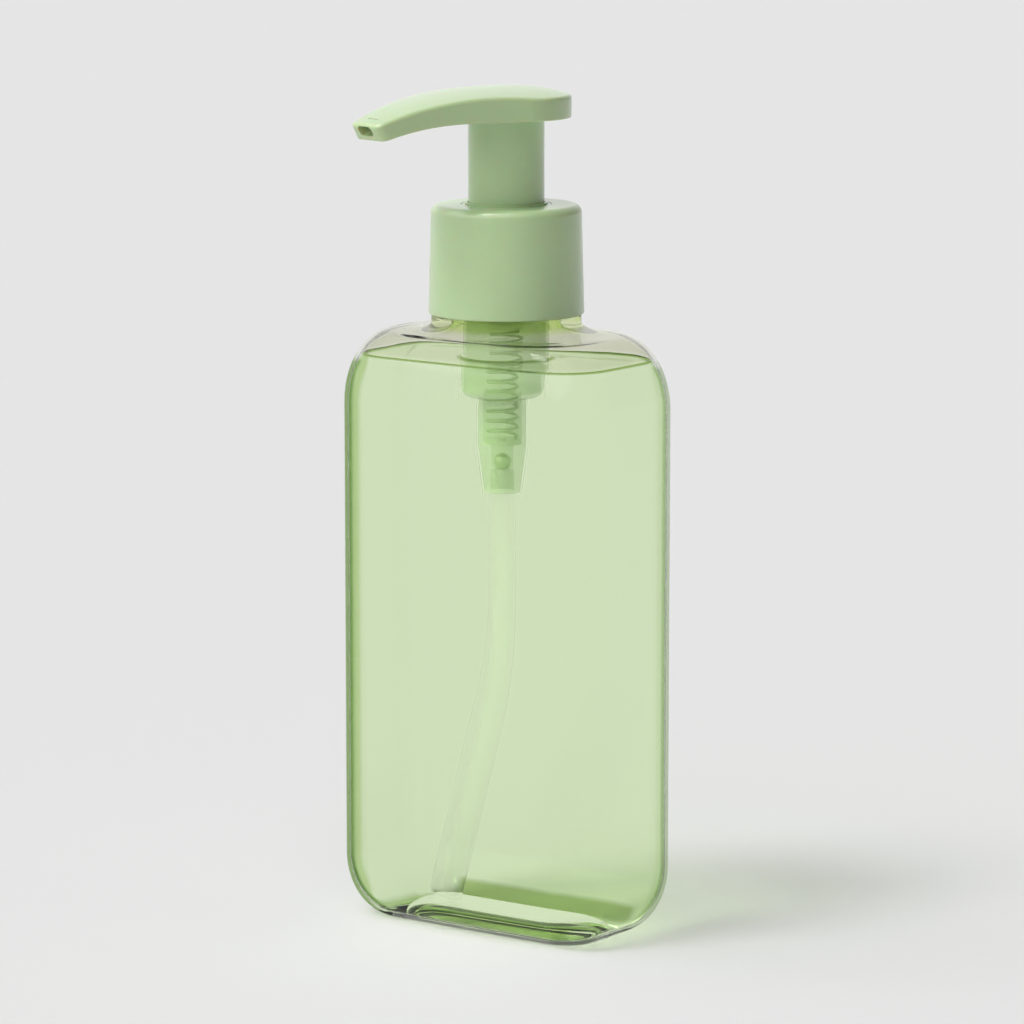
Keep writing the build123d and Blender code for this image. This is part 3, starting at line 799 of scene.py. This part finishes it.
@dataclass
class Gel:
    """The fill, with its meniscus and the tunnel that the pump and tube leave in it."""

    form: BottleForm
    material: bpy.types.Material
    tunnel_material: bpy.types.Material
    level: float = 118.2
    skin_gap: float = 0.05
    meniscus_rise: float = 0.9
    meniscus_reach: float = 1.3
    surface_stops: tuple[tuple[float, float, int], ...] = ((0.0, 0.2, 10), (0.2, 0.9, 8), (0.9, 1.0, 7))
    pump_gap: float = 0.35
    cup_radius: float = 8.8
    cup_base: float = 110.6
    chamber_radius: float = 5.1
    chamber_base: float = 101.0
    socket_radius: float = 3.8
    socket_base: float = 91.0
    tube_radius: float = 2.45
    bend_top: float = 67.0
    bend_radius: float = 100.0
    bend_angle: float = 15.4
    bend_steps: int = 14
    tail_length: float = 37.2
    tail_steps: int = 6
    lift_room: float = 7.2

    @property
    def pump_steps(self) -> np.ndarray:
        """Radius and height at each step of the pump, from the level down.

        Returns:
            An array of pairs.
        """
        return np.array(
            [
                (self.cup_radius, self.level),
                (self.cup_radius, self.cup_base),
                (self.chamber_radius, self.cup_base),
                (self.chamber_radius, self.chamber_base),
                (self.socket_radius, self.socket_base),
                (self.tube_radius, self.socket_base),
            ]
        )

    def surface(self, wall_ring: np.ndarray) -> np.ndarray:
        """Rings of the liquid's surface, from the wall in to the pump.

        A straight run in plan, whose height climbs by an exponential of the distance from the wall and pump.

        Args:
            wall_ring: the last ring up the wall.

        Returns:
            An array of rings.
        """
        inner = self.cup_radius + self.pump_gap
        share = np.concatenate([np.linspace(*stops)[1:] for stops in self.surface_stops])[:, None]
        circle = self.form.outline.circles(inner, self.level, wall_ring)[0]
        flat = wall_ring[None, :, :2] + (circle[None, :, :2] - wall_ring[None, :, :2]) * share[..., None]
        span = np.linalg.norm(circle[:, :2] - wall_ring[:, :2], axis=-1)[None]
        reach = self.meniscus_reach
        climb = np.exp(-span * share / reach) + np.exp(-span * (1 - share) / reach)
        height = self.level + self.meniscus_rise * climb
        return np.concatenate([flat, height[..., None]], axis=-1)

    def tunnel(self, like: np.ndarray) -> np.ndarray:
        """Rings of the tunnel round the pump and down the tube, with room for the leaning tube to lift.

        Circles at the pump's steps, then a circle carried down an arc and a straight tail, square to them.
        Its side towards the lean is let out by the lift's room times the sine of the lean.

        Args:
            like: the ring whose directions they take.

        Returns:
            An array of rings.
        """
        gap, curve = self.pump_gap, self.bend_radius
        radius, height = self.pump_steps.T
        turned = self.form.outline.circles(radius + gap, height - gap, like)
        bend = math.radians(self.bend_angle)
        along = np.linspace(0, bend, self.bend_steps)
        tail = np.linspace(0, self.tail_length + gap, self.tail_steps)[1:]
        tail_x = -curve * (1 - math.cos(bend)) - tail * math.sin(bend)
        tail_z = self.bend_top - curve * math.sin(bend) - tail * math.cos(bend)
        x = np.concatenate([-curve * (1 - np.cos(along)), tail_x])
        z = np.concatenate([self.bend_top - curve * np.sin(along), tail_z])
        lean = np.concatenate([along, np.full(len(tail), bend)])[:, None]
        angle = np.arctan2(like[:, 1], like[:, 0])[None]
        ring = self.tube_radius + gap
        across = ring * np.cos(angle) - self.lift_room * np.sin(lean) * (1 - np.cos(angle)) / 2
        bent_x = x[:, None] + across * np.cos(lean)
        bent_z = z[:, None] - across * np.sin(lean)
        bent_y = np.broadcast_to(ring * np.sin(angle), bent_x.shape)
        return np.concatenate([turned, np.stack([bent_x, bent_y, bent_z], axis=-1)])

    def build(self) -> bpy.types.Object:
        """Makes the fill in place of the CAD gel.

        Returns:
            The fill.
        """
        inset = self.form.wall + self.skin_gap
        wall = [
            self.form.push_up(inset),
            self.form.foot(inset),
            self.form.sides(inset),
            self.form.shoulder(inset, self.level + self.meniscus_rise),
        ]
        surface = self.surface(wall[-1][-1])
        points, faces = closed_stack(np.concatenate([*wall, surface, self.tunnel(surface[-1])]))
        fill = place_mesh("gel_fill", points, faces, self.material, self.tunnel_material)
        count = self.form.outline.count
        outside = (sum(len(rings) for rings in wall) + len(surface) - 1) * count
        slots = np.zeros(len(faces), int)
        slots[outside:] = 1
        slots[-2 * count : -count] = 0
        fill.data.polygons.foreach_set("material_index", slots)
        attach(fill, Body.BOTTLE.value)
        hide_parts("gel")
        return fill


@dataclass
class Spring:
    """The return spring, drawn at rest: nothing here shortens it as the head is pressed."""

    material: bpy.types.Material
    base: float = 102.0
    top: float = 124.7
    outer: float = 7.0
    wire: float = 0.7
    turns: float = 11.0
    pressed_share: float = 0.383
    steps: int = 480
    sides: int = 8

    def build(self) -> bpy.types.Object:
        """Makes the coil in place of the CAD spring: a circle carried along a helix.

        Returns:
            The coil.
        """
        share = np.linspace(0, 1, self.steps)[:, None]
        turn = 2 * math.pi * self.turns * share
        round_wire = -2 * math.pi * np.arange(self.sides)[None] / self.sides
        half = self.wire / 2
        radius = self.outer / 2 - half + half * np.cos(round_wire)
        height = self.base + half + (self.top - self.base - self.wire) * share + half * np.sin(round_wire)
        rings = np.stack([radius * np.cos(turn), radius * np.sin(turn), height], axis=-1)
        points, faces = closed_stack(rings)
        coil = place_mesh("spring_coil", points, faces, self.material)
        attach(coil, Body.PUMP.value)
        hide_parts("spring")
        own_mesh(coil)
        return coil


@dataclass
class Mouldings:
    """The CAD nodes that show as they are, with their finishes."""

    nodes: dict
    finishes: dict[str, bpy.types.Material]

    def build(self) -> None:
        """Gives each node its finish."""
        for name, material in self.finishes.items():
            mesh = self.nodes[name].data
            mesh.materials.clear()
            mesh.materials.append(material)


@dataclass(frozen=True)
class Lamp:
    """A sun lamp, placed relative to the camera's heading.

    Args:
        name: the lamp's name.
        strength: how strong it is.
        turn: degrees to the right of the camera.
        height: degrees above the floor.
        spread: how wide the lamp looks, in degrees.
    """

    name: str
    strength: float
    turn: float
    height: float
    spread: float


@dataclass
class Studio:
    """Floor, lamps, world and camera."""

    floor_half_m: float = 9.0
    world_colour: str = "#FFFFFF"
    world_strength: float = 0.11
    world_shown: float = 0.775
    gloss_left: float = 1.0
    gloss_right: float = 0.15
    gloss_turn: tuple[float, float] = (0.1, 0.9)
    lamps: tuple[Lamp, ...] = (
        Lamp("key", 1.2, -60.0, 61.0, 18.0),
        Lamp("wide", 2.3, -58.0, 50.0, 90.0),
    )
    camera_turn: float = 36.0
    camera_distance: float = 1000.0
    camera_height: float = 253.0
    camera_pitch: float = 0.165
    camera_lens: float = 172.8
    sensor: float = 36.0
    shift: float = 0.00557
    clip_m: tuple[float, float] = (0.01, 100.0)

    def floor(self) -> bpy.types.Object:
        """Makes the floor, which runs on past the view as the backdrop.

        Returns:
            The floor.
        """
        half = self.floor_half_m / MM
        corners = np.array([[-half, -half, 0], [half, -half, 0], [half, half, 0], [-half, half, 0]], float)
        floor = place_mesh("floor", corners, [[0, 1, 2, 3]], FLOOR.material())
        return floor

    def light(self, lamp: Lamp) -> None:
        """Makes one of the lamps.

        Args:
            lamp: the lamp to make.
        """
        data = bpy.data.lights.new(lamp.name, "SUN")
        data.energy = lamp.strength
        data.angle = math.radians(lamp.spread)
        made = bpy.data.objects.new(lamp.name, data)
        bpy.context.scene.collection.objects.link(made)
        turn, height = math.radians(lamp.turn + self.camera_turn), math.radians(lamp.height)
        level = math.cos(height)
        back = Vector((math.sin(turn) * level, -math.cos(turn) * level, math.sin(height)))
        made.rotation_euler = (-back).to_track_quat("-Z", "Y").to_euler()

    def world(self) -> None:
        """Makes the even light all round.

        The camera and clear plastic see it as the pale backdrop, and gloss sees a wide light at the left that
        fades to the right.
        """
        world = bpy.data.worlds.new("studio")
        bpy.context.scene.world = world
        world.use_nodes = True
        tree = world.node_tree
        turn = math.radians(self.camera_turn)
        way = add_node(tree, "ShaderNodeTexCoord", (-1300, -300), {})
        right = {0: way.outputs["Generated"], 1: (math.cos(turn), math.sin(turn), 0.0)}
        right = add_node(tree, "ShaderNodeVectorMath", (-1100, -300), right, operation="DOT_PRODUCT")
        gloss = {
            "Value": right.outputs["Value"],
            "From Min": self.gloss_turn[0],
            "From Max": self.gloss_turn[1],
            "To Min": self.gloss_left,
            "To Max": self.gloss_right,
        }
        gloss = add_node(tree, "ShaderNodeMapRange", (-900, -300), gloss).outputs["Result"]
        path = add_node(tree, "ShaderNodeLightPath", (-1300, 200), {})
        lit = {"Value": path.outputs["Is Glossy Ray"], "To Min": self.world_strength, "To Max": gloss}
        lit = add_node(tree, "ShaderNodeMapRange", (-600, 0), lit).outputs["Result"]
        clear = {0: path.outputs["Is Camera Ray"], 1: path.outputs["Is Transmission Ray"]}
        clear = add_node(tree, "ShaderNodeMath", (-600, 300), clear, operation="MAXIMUM")
        level = {"Value": clear.outputs[0], "To Min": lit, "To Max": self.world_shown}
        level = add_node(tree, "ShaderNodeMapRange", (-300, 0), level).outputs["Result"]
        background = tree.nodes["Background"]
        background.inputs["Color"].default_value = linear(self.world_colour)
        tree.links.new(level, background.inputs["Strength"])

    def camera(self) -> None:
        """Sets the camera where the photograph was taken from."""
        data = bpy.data.cameras.new("camera")
        data.lens, data.sensor_width = self.camera_lens, self.sensor
        data.shift_x = self.shift
        data.clip_start, data.clip_end = self.clip_m
        made = bpy.data.objects.new("camera", data)
        bpy.context.scene.collection.objects.link(made)
        turn = math.radians(self.camera_turn)
        far = self.camera_distance * MM
        made.location = (math.sin(turn) * far, -math.cos(turn) * far, self.camera_height * MM)
        made.rotation_euler = Euler((math.pi / 2 - self.camera_pitch, 0, turn))
        bpy.context.scene.camera = made

    def build(self) -> None:
        """Makes the whole studio."""
        self.floor()
        for lamp in self.lamps:
            self.light(lamp)
        self.world()
        self.camera()
        bpy.context.scene.view_settings.view_transform = "Standard"


def main() -> None:
    """Builds the scene, piece by piece."""
    logging.basicConfig(level=logging.INFO, format="%(message)s")
    form = BottleForm()
    green, natural, steel = GREEN_PLASTIC.material(), NATURAL_PLASTIC.material(), STEEL.material()
    parts = [
        Bottle(form, CLEAR_PLASTIC.material()),
        Gel(form, GEL.material(), GEL_TUNNEL.material()),
        Spring(steel),
    ]
    for part in parts:
        made = part.build()
        LOG.info("%s: %d faces", made.name, len(made.data.polygons))
    mouldings = Mouldings(
        frame["nodes"],
        {
            "collar": green,
            "guide_ring": green,
            "head": green,
            "housing": HOUSING_PLASTIC.material(),
            "stem": natural,
            "valve_rod": natural,
            "piston": natural,
            "ball_cage": natural,
            "gasket": natural,
            "dip_tube": TUBE_PLASTIC.material(),
            "ball": steel,
        },
    )
    mouldings.build()
    LOG.info("mouldings kept from the CAD: %s", ", ".join(mouldings.finishes))
    Studio().build()
    LOG.info("studio: floor, lamps, world and camera")


if __name__ == "__main__":
    main()
